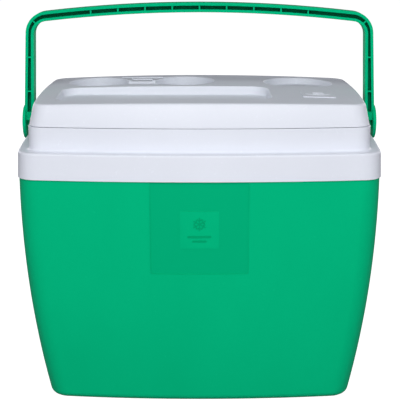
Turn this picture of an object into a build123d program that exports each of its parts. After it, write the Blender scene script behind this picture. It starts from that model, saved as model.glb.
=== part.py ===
"""Portable picnic cooler: double-walled tub, moulded rim, lift-off lid and bail handle.

Millimetres. +Z is up, the front faces -Y, and the origin is the centre of the underside.
"""

import os

from build123d import *

# Plan shape shared by every horizontal section: straight sides are gently bowed outwards
SIDE_BOW = 0.0225  # bulge of each side wall, as a share of the half width
FRONT_BOW = 0.098  # bulge of the front and back walls, as a share of the half depth

# Outer shell
SHELL_HALF_WIDTH = 222.2  # at the shoulder, mid side
SHELL_HALF_DEPTH = 152.0
SHELL_CORNER = 26.0
SHELL_SIDE_TAPER = 30.0  # how far each side curves in between shoulder and base
SHELL_FRONT_TAPER = 25.0
SHELL_WALL = 2.8
SHELL_FLOOR_Z = 4.8
SHELL_SECTIONS = 5  # sections that the curved wall is lofted through
SHOULDER_Z = 288.4
SHOULDER_THICKNESS = 6.0
BASE_EDGE_RADIUS = 10.0
LIP_HALF = (219.6, 149.6)
LIP_WALL = 2.4
LIP_TOP_Z = 317.8
FOOT_INSET = 34.0  # width of the standing rim around the recessed underside
FOOT_RECESS = 2.0

# Sunk panel on the front of the shell, with a raised square pad on it
PANEL_WIDTH = 119.0
PANEL_BOTTOM_Z = 173.8
PANEL_CORNER = 5.0
PANEL_DEPTH = 0.8
PAD_SIDE = 46.6
PAD_CENTRE_Z = 229.8
PAD_HEIGHT = 0.6
PAD_CORNER = 3.0

# Rim: skirt over the shell, flat ledge, upright collar and the mouth inside it
BAND_BOTTOM_Z = 289.1
BAND_BOTTOM_HALF = (223.6, 153.8)
BAND_TOP_HALF = (222.6, 152.8)
BAND_HOLLOW_HALF = (220.0, 150.0)
LEDGE_Z = 321.1
LEDGE_THICKNESS = 3.0
LEDGE_EDGE_RADIUS = 2.4
COLLAR_HALF = (207.8, 139.0)
COLLAR_CORNER = 19.0
COLLAR_SIDE_BOW = 0.008  # the collar's sides are straighter than the other walls
COLLAR_WALL = 3.0
COLLAR_TOP_Z = 350.1
COLLAR_FOOT_RADIUS = 3.0
COLLAR_EDGE_RADIUS = 0.8
MOUTH_HALF = (192.0, 123.4)
MOUTH_CORNER = 20.0
MOUTH_WALL = 2.8

# Liner and the foam between it and the shell
LINER_WALL = 2.0
LINER_FLANGE = 2.5
LINER_FLOOR_Z = 17.5
LINER_FLOOR_HALF = (182.0, 112.0)
LINER_FLOOR_RADIUS = 14.0
FOAM_GAP = 0.4

# Lid
SEAM_GAP = 0.8
LID_FOOT_HALF = (207.8, 139.0)
LID_FOOT_SIDE_BOW = 0.0145
LID_LEVELS = (363.8, 375.8, 385.8)
LID_HALVES = ((206.2, 137.0), (203.7, 133.6), (200.6, 129.6))
LID_CORNER = 21.0
LID_WALL = 3.0
LID_CROWN_Z = 379.9
LID_CROWN_RADIUS = 5900.0  # across the width
LID_EDGE_RADIUS = 4.0
LID_FLANGE_HALF = (204.8, 136.0)
LID_FLANGE_TOP_Z = 352.6
ON_SURFACE = 0.01  # tolerance for a point that lies on a surface
PLUG_CLEARANCE = 1.4
PLUG_BOTTOM_Z = 327.8
PLUG_WALL = 2.4
PLUG_EDGE_RADIUS = 4.0
POCKET_DRAFT = 12.0  # degrees
POCKET_TOP_Z = 380.9
POCKET_FLOOR_RADIUS = 2.5
POCKET_LIP_RADIUS = 1.5

CUP_RADIUS = 41.8
CUP_CENTRES = ((-135.5, 72.0), (-21.5, 72.0))
CUP_FLOOR_Z = 365.8
LINK_X = -78.5
LINK_CORNER = 3.0
LINK_STEPS = (  # length, near edge, far edge and floor of each step between the cups
    (60.0, 36.0, 110.0, 378.2),
    (30.0, 40.0, 101.0, 376.7),
    (60.0, 44.0, 86.0, 373.7),
)
TRAY_CENTRE = (-44.4, -39.8)
TRAY_SIZE = (267.8, 114.6)
TRAY_CORNER = 24.0
TRAY_FLOOR_Z = 368.4
SAUCER_CENTRE = (132.5, 64.0)
SAUCER_RADIUS = 46.5
SAUCER_FLOOR_Z = 369.7
SAUCER_DOME_RADIUS = 34.0
SAUCER_DOME_HEIGHT = 3.5
PLAQUE_CENTRE = (148.4, -47.0)
PLAQUE_SIZE = (41.0, 50.0)
PLAQUE_CORNER = 3.0
PLAQUE_HEIGHT = 1.0

# Bail handle: a channelled arch on two round ends
PIVOT_Z = 336.2
HANDLE_WIDTH = 22.0
BAR_TOP_Z = 489.5
BAR_UNDER_Z = 477.4
BAR_BOW_RADIUS = 1700.0
ARM_OUTER_X = (226.3, 219.8)  # at the pivot and at the top corner
ARM_INNER_X = (213.8, 210.0)
HANDLE_OUTER_CORNER = 28.0
HANDLE_INNER_CORNER = 17.0
FLANGE_THICKNESS = 3.6
WEB_THICKNESS = 3.0
CHANNEL_FOOT_Z = 349.8
RIB_THICKNESS = 1.8
RIB_LENGTH = 7.0
RIB_SINK = 0.8  # how far a rib stops short of the channel's mouth
BAR_RIB_SPACING = 34.4
BAR_RIBS_PER_SIDE = 4
ARM_RIB_POINTS = ((218.4, 376.8), (216.7, 420.4))
CORNER_RIB_POINT = (208.4, 463.8)
CORNER_RIB_TURN = 45.0
HANDLE_EDGE_RADIUS = 0.9
HUB_RADIUS = 11.0
HUB_INNER_X = 208.4
HUB_RECESS_X = 217.0  # from here to the disc only a web joins hub and disc
HUB_RECESS_TOP_Z = 339.5
DISC_RADIUS = 21.6
DISC_INNER_X = 223.6
DISC_CREST_X = 228.9
DISC_DOME_RADIUS = 150.0
DISC_EDGE_RADIUS = 1.2

# Pivot pins
PIN_RADIUS = 6.0
PIN_INNER_X = 198.7
PIN_OUTER_X = 216.0
PIN_HEAD_RADIUS = 9.0
PIN_HEAD_THICKNESS = 2.7
PIN_CLEARANCE = 0.06
PIN_PRESS = 0.02
PIN_HEAD_EDGE_RADIUS = 0.8
BOSS_RADIUS = 11.0
BOSS_INNER_X = 199.0


def bowed_section(height, half, corner, side_bow=SIDE_BOW):
    """Flat face at a height: a rounded rectangle whose four sides bulge outwards."""
    half_width, half_depth = half
    corner_x = half_width * (1 - side_bow)
    corner_y = half_depth * (1 - FRONT_BOW)
    with BuildSketch(Plane.XY.offset(height)) as section:
        with BuildLine():
            ThreePointArc((corner_x, -corner_y), (half_width, 0), (corner_x, corner_y))
            ThreePointArc((corner_x, corner_y), (0, half_depth), (-corner_x, corner_y))
            ThreePointArc((-corner_x, corner_y), (-half_width, 0), (-corner_x, -corner_y))
            ThreePointArc((-corner_x, -corner_y), (0, -half_depth), (corner_x, -corner_y))
        make_face()
        fillet(section.vertices(), corner)
    return section.sketch


def block(bottom, top, half, corner, side_bow=SIDE_BOW):
    """Upright solid of one bowed section."""
    with BuildPart() as solid:
        extrude(bowed_section(bottom, half, corner, side_bow), amount=top - bottom)
    return solid.part


def tapered_block(bottom, top, bottom_half, top_half, corner):
    """Solid between two bowed sections of different size."""
    with BuildPart() as solid:
        loft([bowed_section(bottom, bottom_half, corner), bowed_section(top, top_half, corner)])
    return solid.part


def shell_half(height, inset):
    """Half width and half depth of the shell's outside at a height, moved in by an inset."""
    drop = ((SHOULDER_Z - height) / SHOULDER_Z) ** 2
    half_width = SHELL_HALF_WIDTH - SHELL_SIDE_TAPER * drop - inset
    half_depth = SHELL_HALF_DEPTH - SHELL_FRONT_TAPER * drop - inset
    return half_width, half_depth


def shell_body(bottom, top, inset):
    """Curved tub-shaped solid that follows the shell's outside at an inset."""
    spacing = (top - bottom) / (SHELL_SECTIONS - 1)
    levels = [bottom + spacing * step for step in range(SHELL_SECTIONS)]
    corner = SHELL_CORNER - inset
    with BuildPart() as solid:
        loft([bowed_section(level, shell_half(level, inset), corner) for level in levels])
        fillet(solid.edges().group_by(Axis.Z)[0], BASE_EDGE_RADIUS - inset / 2)
    return solid.part


def grown(half, growth):
    """Half width and half depth, both moved out by a growth."""
    return half[0] + growth, half[1] + growth


def liner_body(growth):
    """Solid that follows the inside of the liner, moved out by a growth."""
    floor = LINER_FLOOR_Z - growth
    floor_half = grown(LINER_FLOOR_HALF, growth)
    mouth_half = grown(MOUTH_HALF, growth)
    with BuildPart() as solid:
        add(tapered_block(floor, LIP_TOP_Z, floor_half, mouth_half, MOUTH_CORNER + growth))
        fillet(solid.edges().group_by(Axis.Z)[0], LINER_FLOOR_RADIUS + growth)
    return solid.part


def front_prism(width, bottom, top, corner):
    """Rounded rectangle seen from the front, run through the shell's front wall."""
    with BuildPart() as solid:
        with BuildSketch(Plane.XZ.offset(SHELL_HALF_DEPTH * (1 - FRONT_BOW) - SHELL_FRONT_TAPER)):
            with Locations((0, (bottom + top) / 2)):
                RectangleRounded(width, top - bottom, corner)
        extrude(amount=SHELL_FRONT_TAPER * 2)
    return solid.part


def lid_body(bottom, inset):
    """Solid that follows the lid's sides at an inset, open at the top."""
    corner = LID_CORNER - inset
    sections = [bowed_section(bottom, grown(LID_FOOT_HALF, -inset), corner, LID_FOOT_SIDE_BOW)]
    for level, half in zip(LID_LEVELS, LID_HALVES):
        sections.append(bowed_section(level, grown(half, -inset), corner))
    with BuildPart() as solid:
        loft(sections)
    return solid.part


def under_crown(offset):
    """Everything below the lid's crowned top, moved up by an offset."""
    with BuildPart() as solid:
        with BuildSketch(Plane.XZ):
            with Locations((0, LID_CROWN_Z - LID_CROWN_RADIUS)):
                Circle(LID_CROWN_RADIUS + offset)
        extrude(amount=SHELL_HALF_DEPTH, both=True)
    return solid.part


def on_crown(edge):
    """Whether an edge lies on the lid's crowned top."""
    middle = edge @ 0.5
    from_axis = Vector(middle.X, 0, middle.Z - LID_CROWN_Z + LID_CROWN_RADIUS)
    return abs(from_axis.length - LID_CROWN_RADIUS) < ON_SURFACE


def round_pocket(centre, radius, floor, growth):
    """Drafted round recess, grown on its sides and floor."""
    depth = POCKET_TOP_Z - floor + growth
    with BuildPart() as solid:
        with BuildSketch(Plane.XY.offset(POCKET_TOP_Z)):
            with Locations(centre):
                Circle(radius + growth)
        extrude(amount=-depth, taper=POCKET_DRAFT)
        fillet(solid.edges().group_by(Axis.Z)[0], POCKET_FLOOR_RADIUS)
    return solid.part


def long_pocket(centre, size, corner, floor, growth):
    """Drafted recess with rounded ends, grown on its sides and floor."""
    depth = POCKET_TOP_Z - floor + growth
    length, width = size
    with BuildPart() as solid:
        with BuildSketch(Plane.XY.offset(POCKET_TOP_Z)):
            with Locations(centre):
                RectangleRounded(length + 2 * growth, width + 2 * growth, corner + growth)
        extrude(amount=-depth, taper=POCKET_DRAFT)
    return solid.part


def lid_pockets(growth):
    """The lid's large recesses: two cups, the tray and the saucer."""
    with BuildPart() as tray:
        add(long_pocket(TRAY_CENTRE, TRAY_SIZE, TRAY_CORNER, TRAY_FLOOR_Z, growth))
        fillet(tray.edges().group_by(Axis.Z)[0], POCKET_FLOOR_RADIUS)
    with BuildPart() as solid:
        for centre in CUP_CENTRES:
            add(round_pocket(centre, CUP_RADIUS, CUP_FLOOR_Z, growth))
        add(round_pocket(SAUCER_CENTRE, SAUCER_RADIUS, SAUCER_FLOOR_Z, growth))
        add(tray.part)
    return solid.part


def cup_link(growth):
    """Stepped recess between the two cups, its steps open towards the front."""
    with BuildPart() as solid:
        for length, near, far, floor in LINK_STEPS:
            add(long_pocket((LINK_X, (near + far) / 2), (length, far - near), LINK_CORNER, floor, growth))
    return solid.part


def saucer_dome():
    """Low dome in the middle of the saucer."""
    sphere_radius = (SAUCER_DOME_RADIUS**2 + SAUCER_DOME_HEIGHT**2) / (2 * SAUCER_DOME_HEIGHT)
    crest = SAUCER_FLOOR_Z + SAUCER_DOME_HEIGHT
    with BuildPart() as solid:
        with BuildSketch(Plane.XY.offset(SAUCER_FLOOR_Z - LID_WALL)):
            with Locations(SAUCER_CENTRE):
                Circle(SAUCER_DOME_RADIUS)
        extrude(amount=LID_WALL + SAUCER_DOME_HEIGHT)
        with Locations((*SAUCER_CENTRE, crest - sphere_radius)):
            Sphere(sphere_radius, mode=Mode.INTERSECT)
    return solid.part


def lid_plaque():
    """Low rectangular plaque that follows the lid's crown."""
    with BuildPart() as solid:
        with BuildSketch(Plane.XY.offset(SAUCER_FLOOR_Z)):
            with Locations(PLAQUE_CENTRE):
                RectangleRounded(*PLAQUE_SIZE, PLAQUE_CORNER)
        extrude(amount=LID_CROWN_Z - SAUCER_FLOOR_Z + PLAQUE_HEIGHT)
        add(under_crown(PLAQUE_HEIGHT), mode=Mode.INTERSECT)
    return solid.part


def arch_face(arm_x, crest_z, corner, inset):
    """Face under an arch with two leaning arms and a bowed top, moved in by an inset."""
    foot_x = arm_x[0] - inset
    top_x = arm_x[1] - inset
    top_z = crest_z - inset - top_x**2 / (2 * BAR_BOW_RADIUS)
    with BuildSketch(Plane.XZ) as face:
        with BuildLine():
            Line((foot_x, PIVOT_Z), (top_x, top_z))
            ThreePointArc((top_x, top_z), (0, crest_z - inset), (-top_x, top_z))
            Line((-top_x, top_z), (-foot_x, PIVOT_Z))
            Line((-foot_x, PIVOT_Z), (foot_x, PIVOT_Z))
        make_face()
        fillet(face.vertices().group_by(Axis.Y)[-1], corner - inset)
    return face.sketch


def side_plane(side, distance):
    """Plane across the pivot axis, facing outwards on one side of the cooler."""
    return Plane(origin=(side * distance, 0, PIVOT_Z), x_dir=(0, side, 0), z_dir=(side, 0, 0))


def pivot_cylinder(side, inner_x, outer_x, radius):
    """Cylinder along the pivot axis on one side."""
    with BuildPart() as solid:
        with BuildSketch(side_plane(side, inner_x)):
            Circle(radius)
        extrude(amount=outer_x - inner_x)
    return solid.part


def disc(side):
    """Domed disc outside the arm on one side, round about the pivot."""
    edge_x = DISC_CREST_X - DISC_DOME_RADIUS + (DISC_DOME_RADIUS**2 - DISC_RADIUS**2) ** 0.5
    with BuildPart() as solid:
        with BuildSketch(Plane(origin=(0, 0, PIVOT_Z), x_dir=(side, 0, 0), z_dir=(0, -side, 0))) as section:
            with BuildLine():
                Line((DISC_CREST_X, 0), (DISC_INNER_X, 0))
                Line((DISC_INNER_X, 0), (DISC_INNER_X, DISC_RADIUS))
                Line((DISC_INNER_X, DISC_RADIUS), (edge_x, DISC_RADIUS))
                RadiusArc((edge_x, DISC_RADIUS), (DISC_CREST_X, 0), DISC_DOME_RADIUS)
            make_face()
            fillet(section.vertices().group_by(Axis.Y)[-1].sort_by(Axis.X)[-1], DISC_EDGE_RADIUS)
        revolve(axis=Axis((0, 0, PIVOT_Z), (1, 0, 0)))
    return solid.part


def hub_recess(side):
    """Two pockets, front and back, that leave only a web between hub and disc."""
    centre_x = side * (HUB_RECESS_X + DISC_INNER_X) / 2
    centre_y = (HUB_RADIUS + WEB_THICKNESS / 2) / 2
    centre_z = HUB_RECESS_TOP_Z - HUB_RADIUS
    with BuildPart() as solid:
        with Locations((centre_x, centre_y, centre_z), (centre_x, -centre_y, centre_z)):
            Box(DISC_INNER_X - HUB_RECESS_X, HUB_RADIUS - WEB_THICKNESS / 2, 2 * HUB_RADIUS)
    return solid.part


# Outer shell: curved tub with a shoulder, an upright lip and a recessed underside
panel_cut = front_prism(PANEL_WIDTH, PANEL_BOTTOM_Z, SHOULDER_Z + PANEL_CORNER, PANEL_CORNER)
panel_cut -= shell_body(0, SHOULDER_Z, PANEL_DEPTH)
pad_bottom = PAD_CENTRE_Z - PAD_SIDE / 2
pad = front_prism(PAD_SIDE, pad_bottom, pad_bottom + PAD_SIDE, PAD_CORNER)
pad &= shell_body(0, SHOULDER_Z, PANEL_DEPTH - PAD_HEIGHT)
hollow_top = SHOULDER_Z - SHOULDER_THICKNESS
lip_corner = SHELL_CORNER - SHELL_HALF_WIDTH + LIP_HALF[0]

with BuildPart() as outer_shell:
    add(shell_body(0, SHOULDER_Z, 0))
    add(panel_cut, mode=Mode.SUBTRACT)
    add(pad)
    add(block(SHOULDER_Z, LIP_TOP_Z, LIP_HALF, lip_corner))
    add(shell_body(SHELL_FLOOR_Z, hollow_top, SHELL_WALL), mode=Mode.SUBTRACT)
    add(block(hollow_top, LIP_TOP_Z, grown(LIP_HALF, -LIP_WALL), lip_corner - LIP_WALL), mode=Mode.SUBTRACT)
    add(block(0, FOOT_RECESS, shell_half(0, FOOT_INSET), SHELL_CORNER), mode=Mode.SUBTRACT)
outer_shell.part.label = "outer_shell"

# Foam tub that fills the space between shell and liner
foam_inset = SHELL_WALL + FOAM_GAP
foam_neck_half = grown(LIP_HALF, -LIP_WALL - FOAM_GAP)
foam_neck_bottom = hollow_top - FOAM_GAP
flange_bottom = LIP_TOP_Z - LINER_FLANGE

with BuildPart() as body_insulation:
    add(shell_body(SHELL_FLOOR_Z + FOAM_GAP, foam_neck_bottom, foam_inset))
    add(block(foam_neck_bottom, flange_bottom, foam_neck_half, lip_corner - LIP_WALL))
    add(liner_body(LINER_WALL + FOAM_GAP), mode=Mode.SUBTRACT)
body_insulation.part.label = "body_insulation"

# Inner liner: plain tub hung by its flange
with BuildPart() as inner_liner:
    add(liner_body(LINER_WALL))
    add(block(flange_bottom, LIP_TOP_Z, foam_neck_half, lip_corner - LIP_WALL))
    add(liner_body(0), mode=Mode.SUBTRACT)
inner_liner.part.label = "inner_liner"

# Rim: skirt, ledge and hollow collar around the mouth, with a bearing boss on each side
ledge_underside = LEDGE_Z - LEDGE_THICKNESS
collar_underside = COLLAR_TOP_Z - COLLAR_WALL
collar_inside = grown(COLLAR_HALF, -COLLAR_WALL)
inside_corner = COLLAR_CORNER - COLLAR_WALL
mouth_outside = grown(MOUTH_HALF, MOUTH_WALL)

with BuildPart() as rim:
    add(tapered_block(BAND_BOTTOM_Z, LEDGE_Z, BAND_BOTTOM_HALF, BAND_TOP_HALF, SHELL_CORNER))
    fillet(rim.edges().group_by(Axis.Z)[-1], LEDGE_EDGE_RADIUS)
    add(block(BAND_BOTTOM_Z, ledge_underside, BAND_HOLLOW_HALF, lip_corner), mode=Mode.SUBTRACT)
    add(block(ledge_underside, COLLAR_TOP_Z, COLLAR_HALF, COLLAR_CORNER, COLLAR_SIDE_BOW))
    fillet(rim.edges(Select.LAST).filter_by_position(Axis.Z, LEDGE_Z, LEDGE_Z), COLLAR_FOOT_RADIUS)
    fillet(rim.edges().group_by(Axis.Z)[-1], COLLAR_EDGE_RADIUS)
    add(block(ledge_underside, collar_underside, collar_inside, inside_corner, COLLAR_SIDE_BOW),
        mode=Mode.SUBTRACT)
    add(block(LIP_TOP_Z, COLLAR_TOP_Z, mouth_outside, MOUTH_CORNER + MOUTH_WALL))
    for side in (1, -1):
        add(pivot_cylinder(side, BOSS_INNER_X, COLLAR_HALF[0] - COLLAR_WALL / 2, BOSS_RADIUS))
        add(pivot_cylinder(side, BOSS_INNER_X, HUB_INNER_X, PIN_RADIUS + PIN_CLEARANCE), mode=Mode.SUBTRACT)
    add(block(LIP_TOP_Z, COLLAR_TOP_Z, MOUTH_HALF, MOUTH_CORNER), mode=Mode.SUBTRACT)
rim.part.label = "rim"

# Lid cover: sloping skirt, crowned top, recesses, and a groove that takes the inner panel's flange
lid_bottom = COLLAR_TOP_Z + SEAM_GAP
flange_groove_half = grown(LID_FLANGE_HALF, FOAM_GAP)

with BuildPart() as lid_hollow:
    add(lid_body(LID_FLANGE_TOP_Z, LID_WALL))
    add(lid_pockets(LID_WALL), mode=Mode.SUBTRACT)
    add(cup_link(LID_WALL), mode=Mode.SUBTRACT)
    add(under_crown(-LID_WALL), mode=Mode.INTERSECT)
    add(block(lid_bottom, LID_FLANGE_TOP_Z, flange_groove_half, LID_CORNER - LID_WALL))

with BuildPart() as lid_top:
    add(lid_body(lid_bottom, 0))
    add(under_crown(0), mode=Mode.INTERSECT)
    fillet(lid_top.edges().filter_by_position(Axis.Z, LID_LEVELS[0], LID_CROWN_Z), LID_EDGE_RADIUS)
    add(lid_pockets(0), mode=Mode.SUBTRACT)
    fillet(lid_top.edges(Select.LAST).filter_by(on_crown), POCKET_LIP_RADIUS)
    add(cup_link(0), mode=Mode.SUBTRACT)
    add(lid_hollow.part, mode=Mode.SUBTRACT)
    add(saucer_dome())
    add(lid_plaque())
lid_top.part.label = "lid_top"

# Lid inner panel: flange that rests on the collar, and a pan that plugs the mouth
plug_half = grown(MOUTH_HALF, -PLUG_CLEARANCE)
plug_corner = MOUTH_CORNER - PLUG_CLEARANCE
pan_floor = PLUG_BOTTOM_Z + PLUG_WALL

with BuildPart() as lid_inner_panel:
    add(block(PLUG_BOTTOM_Z, LID_FLANGE_TOP_Z, plug_half, plug_corner))
    fillet(lid_inner_panel.edges().group_by(Axis.Z)[0], PLUG_EDGE_RADIUS)
    add(block(COLLAR_TOP_Z, LID_FLANGE_TOP_Z, LID_FLANGE_HALF, LID_CORNER - LID_WALL))
    add(block(pan_floor, LID_FLANGE_TOP_Z, grown(plug_half, -PLUG_WALL), plug_corner - PLUG_WALL),
        mode=Mode.SUBTRACT)
lid_inner_panel.part.label = "lid_inner_panel"

# Lid insulation: foam block in the pan, with a wider slab above the flange
foam_pan_half = grown(plug_half, -PLUG_WALL - FOAM_GAP)
foam_slab_half = grown(LID_HALVES[0], -LID_WALL - FOAM_GAP)
foam_slab_top = CUP_FLOOR_Z - LID_WALL - FOAM_GAP

with BuildPart() as lid_insulation:
    add(block(pan_floor, LID_FLANGE_TOP_Z, foam_pan_half, plug_corner - PLUG_WALL))
    add(block(LID_FLANGE_TOP_Z, foam_slab_top, foam_slab_half, LID_CORNER - LID_WALL))
lid_insulation.part.label = "lid_insulation"

# Handle: arch with a channel in both faces, ribs across it, and a hub and disc at each end
outer_arch = arch_face(ARM_OUTER_X, BAR_TOP_Z, HANDLE_OUTER_CORNER, 0)
inner_arch = arch_face(ARM_INNER_X, BAR_UNDER_Z, HANDLE_INNER_CORNER, 0)
channel_outside = arch_face(ARM_OUTER_X, BAR_TOP_Z, HANDLE_OUTER_CORNER, FLANGE_THICKNESS)
channel_inside = arch_face(ARM_INNER_X, BAR_UNDER_Z, HANDLE_INNER_CORNER, -FLANGE_THICKNESS)
rib_width = HANDLE_WIDTH - 2 * RIB_SINK
bar_middle_z = (BAR_TOP_Z + BAR_UNDER_Z) / 2

with BuildPart() as channels:
    extrude(channel_outside - channel_inside, amount=HANDLE_WIDTH / 2, both=True)
    extrude(outer_arch, amount=WEB_THICKNESS / 2, both=True, mode=Mode.SUBTRACT)
    with BuildSketch(Plane.XZ) as arm_foot:
        with Locations((0, (PIVOT_Z + CHANNEL_FOOT_Z) / 2)):
            Rectangle(2 * ARM_OUTER_X[0], CHANNEL_FOOT_Z - PIVOT_Z)
    extrude(amount=HANDLE_WIDTH / 2, both=True, mode=Mode.SUBTRACT)

with BuildPart() as handle:
    extrude(outer_arch - inner_arch, amount=HANDLE_WIDTH / 2, both=True)
    fillet(handle.faces().filter_by(Axis.Y).edges(), HANDLE_EDGE_RADIUS)
    add(channels.part, mode=Mode.SUBTRACT)
    for step in range(-BAR_RIBS_PER_SIDE, BAR_RIBS_PER_SIDE + 1):
        rib_x = step * BAR_RIB_SPACING
        with Locations((rib_x, 0, bar_middle_z - rib_x**2 / (2 * BAR_BOW_RADIUS))):
            Box(RIB_THICKNESS, rib_width, RIB_LENGTH)
    for side in (1, -1):
        for rib_x, rib_z in ARM_RIB_POINTS:
            with Locations((side * rib_x, 0, rib_z)):
                Box(RIB_LENGTH, rib_width, RIB_THICKNESS)
        corner_rib_position = (side * CORNER_RIB_POINT[0], 0, CORNER_RIB_POINT[1])
        with Locations(Location(corner_rib_position, (0, side * CORNER_RIB_TURN, 0))):
            Box(RIB_THICKNESS, rib_width, RIB_LENGTH)
        add(pivot_cylinder(side, HUB_INNER_X, DISC_INNER_X, HUB_RADIUS))
        add(hub_recess(side), mode=Mode.SUBTRACT)
        add(disc(side))
        add(pivot_cylinder(side, HUB_INNER_X, PIN_OUTER_X, PIN_RADIUS + PIN_PRESS), mode=Mode.SUBTRACT)
handle.part.label = "handle"


def pivot_pin(side):
    """Headed pin on one side, its head inside the hollow collar."""
    head_inner_x = PIN_INNER_X - PIN_HEAD_THICKNESS
    with BuildPart() as solid:
        add(pivot_cylinder(side, head_inner_x, PIN_INNER_X, PIN_HEAD_RADIUS))
        fillet(solid.edges().filter_by(GeomType.CIRCLE), PIN_HEAD_EDGE_RADIUS)
        add(pivot_cylinder(side, PIN_INNER_X, PIN_OUTER_X, PIN_RADIUS))
    return solid.part


with BuildPart() as pivot_pin_left:
    add(pivot_pin(-1))
pivot_pin_left.part.label = "pivot_pin_left"

with BuildPart() as pivot_pin_right:
    add(pivot_pin(1))
pivot_pin_right.part.label = "pivot_pin_right"

sub_parts = (
    outer_shell,
    body_insulation,
    inner_liner,
    rim,
    lid_top,
    lid_inner_panel,
    lid_insulation,
    handle,
    pivot_pin_left,
    pivot_pin_right,
)
os.makedirs("parts", exist_ok=True)
for sub_part in sub_parts:
    export_step(sub_part.part, f"parts/{sub_part.part.label}.step")
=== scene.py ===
"""Looks of the picnic cooler: materials, moulded emblems, light and camera around the CAD frame.

Metres, +Z up, the front faces -Y. Places come from the frame's boxes and surfaces.
"""
import math

import bmesh
import bpy
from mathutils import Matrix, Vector
from mathutils.bvhtree import BVHTree


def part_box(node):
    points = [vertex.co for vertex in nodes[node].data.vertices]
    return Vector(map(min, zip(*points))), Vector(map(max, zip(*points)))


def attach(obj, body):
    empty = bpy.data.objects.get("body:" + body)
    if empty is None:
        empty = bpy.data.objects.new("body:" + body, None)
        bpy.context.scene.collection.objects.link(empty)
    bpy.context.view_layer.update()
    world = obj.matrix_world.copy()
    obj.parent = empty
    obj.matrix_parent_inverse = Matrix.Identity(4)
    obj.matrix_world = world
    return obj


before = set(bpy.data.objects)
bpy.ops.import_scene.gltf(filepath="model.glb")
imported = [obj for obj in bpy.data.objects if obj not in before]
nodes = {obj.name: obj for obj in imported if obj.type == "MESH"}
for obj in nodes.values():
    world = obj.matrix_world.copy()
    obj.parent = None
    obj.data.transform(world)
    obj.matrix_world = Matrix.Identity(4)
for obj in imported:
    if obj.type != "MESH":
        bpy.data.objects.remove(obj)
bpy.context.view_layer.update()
shell_low, shell_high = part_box("outer_shell")
lid_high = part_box("lid_top")[1]

RIGHT, BACK, UP = Vector((1, 0, 0)), Vector((0, 1, 0)), Vector((0, 0, 1))

# Camera, in front and a little above
CAMERA_DISTANCE = 1.480
CAMERA_HEIGHT = 0.5884
CAMERA_SHIFT = 0.0007  # to the right of the cooler's middle
CAMERA_TILT = math.radians(13.59)
CAMERA_LENS = 103.5

# Plastics, linear colours: the usual tone and a slightly deeper one
GREEN = (0.0010, 0.480, 0.210)
GREEN_DEEP = (0.0008, 0.450, 0.196)
PRINT_GREEN = (0.0008, 0.375, 0.156)
PRINT_DEEP = (0.0006, 0.345, 0.142)
GREEN_SHEEN = (0.02, 1.0, 0.55)
WHITE = (0.772, 0.802, 0.878)
WHITE_DEEP = (0.745, 0.774, 0.848)
LINER_WHITE = (0.800, 0.815, 0.835)
LINER_DEEP = (0.765, 0.782, 0.804)
FOAM_WHITE = (0.820, 0.820, 0.810)
FOAM_JOINT = (0.560, 0.560, 0.550)
PLASTIC_IOR = 1.49
WEAK_REFLECTION = 0.10  # specular level of a plastic with a tinted sheen
WAVE_DEPTH = 0.0006
GRAIN_DEPTH = 0.00006
BEADS_PER_METRE = 240.0
BEAD_DEPTH = 0.0006
SCRATCH_STRETCH = (240.0, 11.0, 240.0)
SCRATCH_TURNS = ((0.3, 0.2, 0.5), (-0.4, 0.5, -0.9))
SCRATCH_PEAK = (0.74, 0.80)  # where a streak of noise starts to show, and where it is full

# Sunk panel on the front of the shell, and the square pad on it; shade is painted on the panel around
# the pad
PANEL_WIDTH = 0.119
PANEL_BOTTOM = 0.1738
PANEL_TOP_DROP = 0.028  # below the top of the shell's lip, behind the rim's skirt
# Painted shade: the sunk panel around the pad is darkened to this share of the deeper green
PANEL_PAINTED_SHADE = 0.94  # share of its tone that the panel keeps
PAD_SIDE = 0.0466
PAD_CENTRE = Vector((0.0, shell_low.y, 0.2298))
MASK_MARGIN = 0.001  # outside the shell's front

# The handle's channels, with painted shade that makes them darker than the flanges beside them
PIVOT_HEIGHT = 0.3362
ARM_MIDDLE = 0.2201  # middle of the arm, at the pivot
ARM_LEAN = 0.0365  # inwards, per metre of height
BAR_MIDDLE = 0.4834  # middle of the bar, above the lid's middle
BAR_BOW_RADIUS = 1.7
ARCH_CORNER = 0.0225
CHANNEL_HALF = 0.0028  # half the width between the flanges
CHANNEL_DEPTH = 0.0097  # from the handle's middle to just inside its faces
CHANNEL_FOOT = 0.3498
# Painted shade: the share of the deeper green that the channels keep
CHANNEL_PAINTED_SHADE = 0.42

# Emblems
EMBLEM_DROP = 0.05  # height outside a surface from which an outline is dropped onto it
FRONT_RELIEF = 0.0004
BEVEL_WIDTH = 0.6  # as a share of the relief's height
BEVEL_FOOT = 0.35  # share of the height at which the bevel starts
SHARPEST_MITRE = 0.35  # limits how far a pointed corner moves in
PLAQUE_CENTRE = Vector((0.1484, -0.0465, lid_high.z))

# Stage
FLOOR_REACH = 40.0  # from the middle to each edge
FLOOR_GLOW = 0.96
PAPER_TONES = (0.385, 0.415)
ROOM_TINT = (0.96, 0.945, 1.05)
ROOM_STRENGTH = 0.14
SOFTBOX_AIM = (0.0, 0.0, 0.25)
SOFTBOXES = (  # name, place, side and power in watts
    ("key", (0.0, -2.85, 2.50), 2.4, 86.0),
    ("bounce", (0.0, -1.3, 0.06), 1.0, 3.8),
    ("side_left", (-2.3, -1.5, 0.8), 1.4, 11.0),
    ("side_right", (2.3, -1.5, 0.8), 1.4, 11.0),
    ("back_left", (-1.8, 2.6, 0.7), 1.4, 17.0),
    ("back_right", (1.8, 2.6, 0.7), 1.4, 17.0),
)


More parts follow.
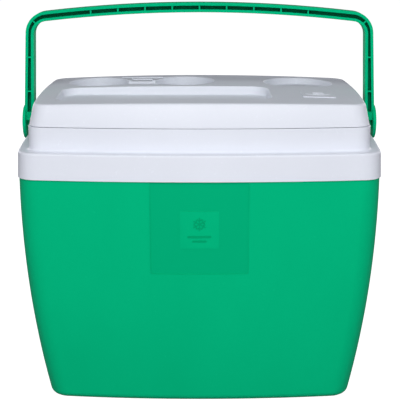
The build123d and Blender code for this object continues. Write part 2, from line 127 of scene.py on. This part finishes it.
# ---------------------------------------------------------------- materials
class Shader:
    """A node material under construction, with a Principled surface."""

    def __init__(self, name):
        self.material = bpy.data.materials.new(name)
        self.material.use_nodes = True
        self.tree = self.material.node_tree
        self.tree.nodes.clear()
        self.surface = self.node("ShaderNodeBsdfPrincipled")
        output = self.node("ShaderNodeOutputMaterial")
        self.link(self.surface.outputs["BSDF"], output.inputs["Surface"])
        self.place = self.node("ShaderNodeTexCoord").outputs["Object"]

    def node(self, kind):
        return self.tree.nodes.new(kind)

    def link(self, source, target):
        self.tree.links.new(source, target)

    def mapped(self, scale, turn=(0.0, 0.0, 0.0)):
        """Object coordinates, scaled and turned."""
        mapping = self.node("ShaderNodeMapping")
        mapping.inputs["Scale"].default_value = scale
        mapping.inputs["Rotation"].default_value = turn
        self.link(self.place, mapping.inputs["Vector"])
        return mapping.outputs["Vector"]

    def noise(self, scale, detail, roughness, place=None):
        """Noise with its scale in cycles per metre."""
        noise = self.node("ShaderNodeTexNoise")
        noise.inputs["Scale"].default_value = scale
        noise.inputs["Detail"].default_value = detail
        noise.inputs["Roughness"].default_value = roughness
        self.link(place or self.place, noise.inputs["Vector"])
        return noise.outputs["Fac"]

    def spread(self, source, taken, given):
        """A value moved from the range that is taken in to the one that is given out, and clamped."""
        spread = self.node("ShaderNodeMapRange")
        spread.inputs["From Min"].default_value, spread.inputs["From Max"].default_value = taken
        spread.inputs["To Min"].default_value, spread.inputs["To Max"].default_value = given
        self.link(source, spread.inputs["Value"])
        return spread.outputs["Result"]

    def mix(self, factor, first, second):
        """Colour between two, each a tuple or another mix."""
        mix = self.node("ShaderNodeMix")
        mix.data_type = "RGBA"
        self.link(factor, mix.inputs[0])
        for socket, colour in ((mix.inputs[6], first), (mix.inputs[7], second)):
            if isinstance(colour, tuple):
                socket.default_value = (*colour, 1.0)
            else:
                self.link(colour, socket)
        return mix.outputs[2]

    def math(self, operation, *values):
        """Math on sockets and numbers."""
        node = self.node("ShaderNodeMath")
        node.operation = operation
        for socket, value in zip(node.inputs, values):
            if isinstance(value, (int, float)):
                socket.default_value = value
            else:
                self.link(value, socket)
        return node.outputs[0]

    def axes(self):
        """The three object coordinates."""
        split = self.node("ShaderNodeSeparateXYZ")
        self.link(self.place, split.inputs["Vector"])
        return split.outputs

    def bump(self, height, strength, distance, below=None):
        """Normal from a height, on top of another normal."""
        bump = self.node("ShaderNodeBump")
        bump.inputs["Strength"].default_value = strength
        bump.inputs["Distance"].default_value = distance
        self.link(height, bump.inputs["Height"])
        if below is not None:
            self.link(below, bump.inputs["Normal"])
        return bump.outputs["Normal"]


def inside(shader, low, high):
    """Mask that is one inside a box of object coordinates."""
    mask = 1.0
    for value, start, end in zip(shader.axes(), low, high):
        near = shader.math("COMPARE", value, (start + end) / 2, (end - start) / 2)
        mask = shader.math("MULTIPLY", near, mask)
    return mask


# Painted shade: this mask marks where the sunk panel is darkened
def panel_painted_shade_mask(shader):
    """Mask of the shell's sunk panel without its pad."""
    outside = shell_low.y - MASK_MARGIN
    panel_low = (-PANEL_WIDTH / 2, outside, PANEL_BOTTOM)
    panel_high = (PANEL_WIDTH / 2, 0.0, shell_high.z - PANEL_TOP_DROP)
    pad_low = (-PAD_SIDE / 2, outside, PAD_CENTRE.z - PAD_SIDE / 2)
    pad_high = (PAD_SIDE / 2, 0.0, PAD_CENTRE.z + PAD_SIDE / 2)
    panel = inside(shader, panel_low, panel_high)
    return shader.math("SUBTRACT", panel, inside(shader, pad_low, pad_high))


# Painted shade: this mask marks where the handle's channels are darkened
def channel_painted_shade_mask(shader):
    """Mask that is one in the handle's channels, between the two flanges.

    The distance is that to the outline of a rounded box, whose side leans and whose top is bowed.
    """
    x, y, z = shader.axes()
    x = shader.math("ABSOLUTE", x)
    lean = shader.math("MULTIPLY_ADD", z, ARM_LEAN, -ARM_LEAN * PIVOT_HEIGHT - ARM_MIDDLE + ARCH_CORNER)
    beside = shader.math("ADD", x, lean)
    bow = shader.math("MULTIPLY", shader.math("MULTIPLY", x, x), 0.5 / BAR_BOW_RADIUS)
    above = shader.math("ADD", shader.math("ADD", z, bow), ARCH_CORNER - BAR_MIDDLE)
    square_beside = shader.math("POWER", shader.math("MAXIMUM", beside, 0.0), 2.0)
    square_above = shader.math("POWER", shader.math("MAXIMUM", above, 0.0), 2.0)
    outside = shader.math("SQRT", shader.math("ADD", square_beside, square_above))
    within = shader.math("MINIMUM", shader.math("MAXIMUM", beside, above), 0.0)
    distance = shader.math("ADD", outside, within)
    between_flanges = shader.math("COMPARE", distance, ARCH_CORNER, CHANNEL_HALF)
    in_depth = shader.math("COMPARE", y, 0.0, CHANNEL_DEPTH)
    mask = shader.math("MULTIPLY", between_flanges, in_depth)
    return shader.math("MULTIPLY", mask, shader.math("GREATER_THAN", z, CHANNEL_FOOT))


def scratches(shader, amount):
    """Mask of fine handling scratches: two thin stretched noises that cross."""
    total = None
    start, full = SCRATCH_PEAK
    for turn in SCRATCH_TURNS:
        stretched = shader.mapped(SCRATCH_STRETCH, turn)
        noise = shader.noise(scale=1.0, detail=1.0, roughness=0.4, place=stretched)
        mask = shader.spread(noise, (start - amount, full), (0.0, 1.0))
        total = mask if total is None else shader.math("ADD", total, mask)
    return total


def moulded_plastic(name, colour, deep, roughness, grain, scuffs, sheen=None, painted_shade=None):
    """Injection-moulded plastic: fine sparked grain, slow flow mottling and light scuffs.

    A sheen tints and weakens the reflection. A painted shade is a function that makes a mask, with the
    share of light that the plastic keeps where the mask is one: shade painted into the colour.
    """
    shader = Shader(name)
    slow = shader.noise(scale=9.0, detail=3.0, roughness=0.55, place=shader.mapped((1.0, 1.0, 0.55)))
    tone = shader.mix(shader.spread(slow, (0.32, 0.68), (0.0, 1.0)), deep, colour)
    quick = shader.noise(scale=230.0, detail=2.0, roughness=0.6)
    tone = shader.mix(shader.spread(quick, (0.35, 0.75), (0.0, 0.35)), tone, deep)
    marks = scratches(shader, scuffs)
    pale = tuple(min(1.0, value * 1.08 + 0.006) for value in colour)
    tone = shader.mix(shader.spread(marks, (0.0, 1.0), (0.0, 0.35)), tone, pale)
    # Painted shade: where the mask is one, the colour becomes a share of the deeper tone
    if painted_shade is not None:
        mask, kept = painted_shade
        tone = shader.mix(mask(shader), tone, tuple(kept * value for value in deep))
    shader.link(tone, shader.surface.inputs["Base Color"])
    if sheen is not None:
        shader.surface.inputs["Specular IOR Level"].default_value = WEAK_REFLECTION
        shader.surface.inputs["Specular Tint"].default_value = (*sheen, 1.0)
    patches = shader.noise(scale=55.0, detail=3.0, roughness=0.6)
    polish = shader.spread(patches, (0.25, 0.75), (roughness - 0.05, roughness + 0.06))
    shader.link(shader.math("MULTIPLY_ADD", marks, 0.12, polish), shader.surface.inputs["Roughness"])
    waves = shader.noise(scale=34.0, detail=2.0, roughness=0.5)
    coarse = shader.bump(waves, strength=0.10, distance=WAVE_DEPTH)
    sparks = shader.noise(scale=grain, detail=3.0, roughness=0.65)
    fine = shader.bump(sparks, strength=0.35, distance=GRAIN_DEPTH, below=coarse)
    shader.link(fine, shader.surface.inputs["Normal"])
    shader.surface.inputs["IOR"].default_value = PLASTIC_IOR
    return shader.material


def foam_beads(name):
    """Expanded polystyrene: pressed beads with darker joints between them."""
    shader = Shader(name)
    cells = shader.node("ShaderNodeTexVoronoi")
    cells.feature = "DISTANCE_TO_EDGE"
    cells.inputs["Scale"].default_value = BEADS_PER_METRE
    shader.link(shader.place, cells.inputs["Vector"])
    edge = cells.outputs["Distance"]
    joint = shader.spread(edge, (0.0, 0.10), (1.0, 0.0))
    shader.link(shader.mix(joint, FOAM_WHITE, FOAM_JOINT), shader.surface.inputs["Base Color"])
    dent = shader.spread(edge, (0.0, 0.25), (0.0, 1.0))
    shader.link(shader.bump(dent, strength=0.5, distance=BEAD_DEPTH), shader.surface.inputs["Normal"])
    shader.surface.inputs["Roughness"].default_value = 0.85
    return shader.material


# The shell carries painted shade on its sunk panel around the pad
green_shell = moulded_plastic(
    "green_shell_plastic", GREEN, GREEN_DEEP, roughness=0.42, grain=1500.0, scuffs=0.02,
    sheen=GREEN_SHEEN, painted_shade=(panel_painted_shade_mask, PANEL_PAINTED_SHADE),
)
# The handle carries painted shade in its channels
green_handle = moulded_plastic(
    "green_handle_plastic", GREEN, GREEN_DEEP, roughness=0.38, grain=1900.0, scuffs=0.035,
    sheen=GREEN_SHEEN, painted_shade=(channel_painted_shade_mask, CHANNEL_PAINTED_SHADE),
)
green_print = moulded_plastic(
    "green_print_plastic", PRINT_GREEN, PRINT_DEEP, roughness=0.50, grain=1500.0, scuffs=0.02,
    sheen=GREEN_SHEEN,
)
white_rim = moulded_plastic(
    "white_rim_plastic", WHITE, WHITE_DEEP, roughness=0.42, grain=1500.0, scuffs=0.02
)
white_lid = moulded_plastic(
    "white_lid_plastic", WHITE, WHITE_DEEP, roughness=0.46, grain=1150.0, scuffs=0.035
)
white_liner = moulded_plastic(
    "white_liner_plastic", LINER_WHITE, LINER_DEEP, roughness=0.24, grain=700.0, scuffs=0.02
)
foam = foam_beads("foam_beads")

finishes = (
    ("outer_shell", green_shell),
    ("handle", green_handle),
    ("pivot_pin_left", green_handle),
    ("pivot_pin_right", green_handle),
    ("rim", white_rim),
    ("lid_top", white_lid),
    ("lid_inner_panel", white_liner),
    ("inner_liner", white_liner),
    ("body_insulation", foam),
    ("lid_insulation", foam),
)
for node, material in finishes:
    mesh = nodes[node].data
    mesh.materials.clear()
    mesh.materials.append(material)


# ---------------------------------------------------------------- emblems
def snowflake(arm):
    """Outline of a six-armed snowflake, counterclockwise, with arms of a given length."""
    half = 0.085 * arm
    root = 0.44 * arm
    branch = 0.36 * arm
    width = 0.15 * arm
    rise, run = math.sin(math.radians(60)), math.cos(math.radians(60))
    upper = [
        (arm - half, half),
        (root + width / rise, half),
        (root + branch * run + width * rise, half + branch * rise - width * run),
        (root + branch * run, half + branch * rise),
        (root, half),
        (half / math.tan(math.radians(30)), half),
    ]
    lower = [(along, -across) for along, across in reversed(upper[:-1])]
    outline = []
    for step in range(6):
        turn = math.radians(60 * step + 30)
        for along, across in lower + [(arm, 0.0)] + upper:
            outline.append((
                along * math.cos(turn) - across * math.sin(turn),
                along * math.sin(turn) + across * math.cos(turn),
            ))
    return outline


def ellipse(half_width, half_height, steps=64):
    """Outline of an ellipse, counterclockwise."""
    angles = [2 * math.pi * step / steps for step in range(steps)]
    return [(half_width * math.cos(angle), half_height * math.sin(angle)) for angle in angles]


def bar(length, width, steps=8):
    """Outline of a bar with round ends, counterclockwise."""
    outline = []
    for side, start in ((1, -math.pi / 2), (-1, math.pi / 2)):
        for step in range(steps + 1):
            angle = start + math.pi * step / steps
            along = side * (length - width) / 2 + width / 2 * math.cos(angle)
            outline.append((along, width / 2 * math.sin(angle)))
    return outline


def relief(name, outline, place, up, height, material, owner):
    """Raised emblem on a CAD surface.

    The outline lies in the plane of RIGHT and up at a place on the surface or outside it, and is
    dropped onto it against the outward direction. Its top stands above the surface, with bevelled
    sides, and its foot reaches as far below the surface.
    """
    outward = RIGHT.cross(up).normalized()
    tree = BVHTree.FromObject(nodes[owner], bpy.context.evaluated_depsgraph_get())
    bevel = BEVEL_WIDTH * height
    mesh = bmesh.new()
    count = len(outline)
    rings = []
    for inset, rise in ((0.0, -height), (0.0, BEVEL_FOOT * height), (bevel, height)):
        ring = []
        for index in range(count):
            before, here, after = (Vector(outline[(index + k) % count]) for k in (-1, 0, 1))
            first, second = (here - before).normalized(), (after - here).normalized()
            normals = Vector((-first.y, first.x)), Vector((-second.y, second.x))
            mitre = (normals[0] + normals[1]).normalized()
            flat = here + mitre * (inset / max(SHARPEST_MITRE, mitre.dot(normals[0])))
            start = place + RIGHT * flat.x + up * flat.y
            hit, _, _, _ = tree.ray_cast(start + outward * EMBLEM_DROP, -outward)
            ring.append(mesh.verts.new(hit + outward * rise))
        rings.append(ring)
    for lower, upper in zip(rings, rings[1:]):
        for index in range(count):
            after = (index + 1) % count
            mesh.faces.new((lower[index], lower[after], upper[after], upper[index]))
    mesh.faces.new(rings[-1])
    mesh.faces.new(reversed(rings[0]))
    data = bpy.data.meshes.new(name)
    bmesh.ops.recalc_face_normals(mesh, faces=mesh.faces)
    mesh.to_mesh(data)
    mesh.free()
    data.materials.append(material)
    emblem = bpy.data.objects.new(name, data)
    bpy.context.scene.collection.objects.link(emblem)
    return emblem


front_signs = (  # name, outline and height above the pad's centre
    ("front_snowflake", snowflake(0.0088), 0.0072),
    ("front_bar_long", bar(0.0290, 0.0030), -0.0085),
    ("front_bar_short", bar(0.0180, 0.0026), -0.0140),
)
for name, outline, shift in front_signs:
    place = PAD_CENTRE + UP * shift
    sign = relief(name, outline, place, UP, FRONT_RELIEF, green_print, "outer_shell")
    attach(sign, "tub")

lid_signs = (  # name, outline and height of its top above the plaque
    ("lid_oval", ellipse(0.0155, 0.0115), 0.0005),
    ("lid_snowflake", snowflake(0.0085), 0.0010),
)
for name, outline, height in lid_signs:
    sign = relief(name, outline, PLAQUE_CENTRE, BACK, height, white_lid, "lid_top")
    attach(sign, "lid")


# ---------------------------------------------------------------- stage
def paper_floor():
    """Large sheet of pale paper, lit from within so that it stays white around the cooler."""
    mesh = bmesh.new()
    corners = ((-1, -1), (1, -1), (1, 1), (-1, 1))
    mesh.faces.new([mesh.verts.new((x * FLOOR_REACH, y * FLOOR_REACH, 0.0)) for x, y in corners])
    data = bpy.data.meshes.new("floor")
    mesh.to_mesh(data)
    mesh.free()
    floor = bpy.data.objects.new("floor", data)
    bpy.context.scene.collection.objects.link(floor)
    paper = Shader("paper_floor")
    fibre = paper.noise(scale=30.0, detail=4.0, roughness=0.6)
    paper.link(paper.spread(fibre, (0.3, 0.7), PAPER_TONES), paper.surface.inputs["Base Color"])
    paper.surface.inputs["Roughness"].default_value = 0.9
    paper.surface.inputs["Specular IOR Level"].default_value = 0.0
    paper.surface.inputs["Emission Color"].default_value = (1.0, 1.0, 1.0, 1.0)
    paper.surface.inputs["Emission Strength"].default_value = FLOOR_GLOW
    data.materials.append(paper.material)
    floor.visible_diffuse = False
    floor.visible_glossy = False
    return floor


def studio_world():
    """World that is white behind the cooler and dim for the light that it sheds."""
    world = bpy.data.worlds.new("studio")
    world.use_nodes = True
    sky = world.node_tree
    sky.nodes.clear()
    path = sky.nodes.new("ShaderNodeLightPath")
    soft = sky.nodes.new("ShaderNodeBackground")
    soft.inputs["Color"].default_value = (*ROOM_TINT, 1.0)
    soft.inputs["Strength"].default_value = ROOM_STRENGTH
    bright = sky.nodes.new("ShaderNodeBackground")
    bright.inputs["Color"].default_value = (1.0, 1.0, 1.0, 1.0)
    bright.inputs["Strength"].default_value = 1.0
    chosen = sky.nodes.new("ShaderNodeMixShader")
    output = sky.nodes.new("ShaderNodeOutputWorld")
    sky.links.new(path.outputs["Is Camera Ray"], chosen.inputs["Fac"])
    sky.links.new(soft.outputs[0], chosen.inputs[1])
    sky.links.new(bright.outputs[0], chosen.inputs[2])
    sky.links.new(chosen.outputs[0], output.inputs["Surface"])
    return world


def softbox(name, place, side, power):
    """Square area light aimed at the cooler."""
    lamp = bpy.data.lights.new(name, "AREA")
    lamp.shape = "SQUARE"
    lamp.size = side
    lamp.energy = power
    light = bpy.data.objects.new(name, lamp)
    light.location = place
    light.rotation_euler = (Vector(SOFTBOX_AIM) - Vector(place)).to_track_quat("-Z", "Y").to_euler()
    bpy.context.scene.collection.objects.link(light)


floor = paper_floor()
bpy.context.scene.world = studio_world()
for name, place, side, power in SOFTBOXES:
    softbox(name, place, side, power)

# ---------------------------------------------------------------- camera
camera_data = bpy.data.cameras.new("camera")
camera_data.lens = CAMERA_LENS
camera_data.clip_start = 0.05
camera_data.clip_end = 200.0
camera = bpy.data.objects.new("camera", camera_data)
camera.location = (CAMERA_SHIFT, -CAMERA_DISTANCE, CAMERA_HEIGHT)
camera.rotation_euler = (math.pi / 2 - CAMERA_TILT, 0.0, 0.0)
bpy.context.scene.collection.objects.link(camera)
bpy.context.scene.camera = camera
bpy.context.scene.view_settings.view_transform = "Standard"
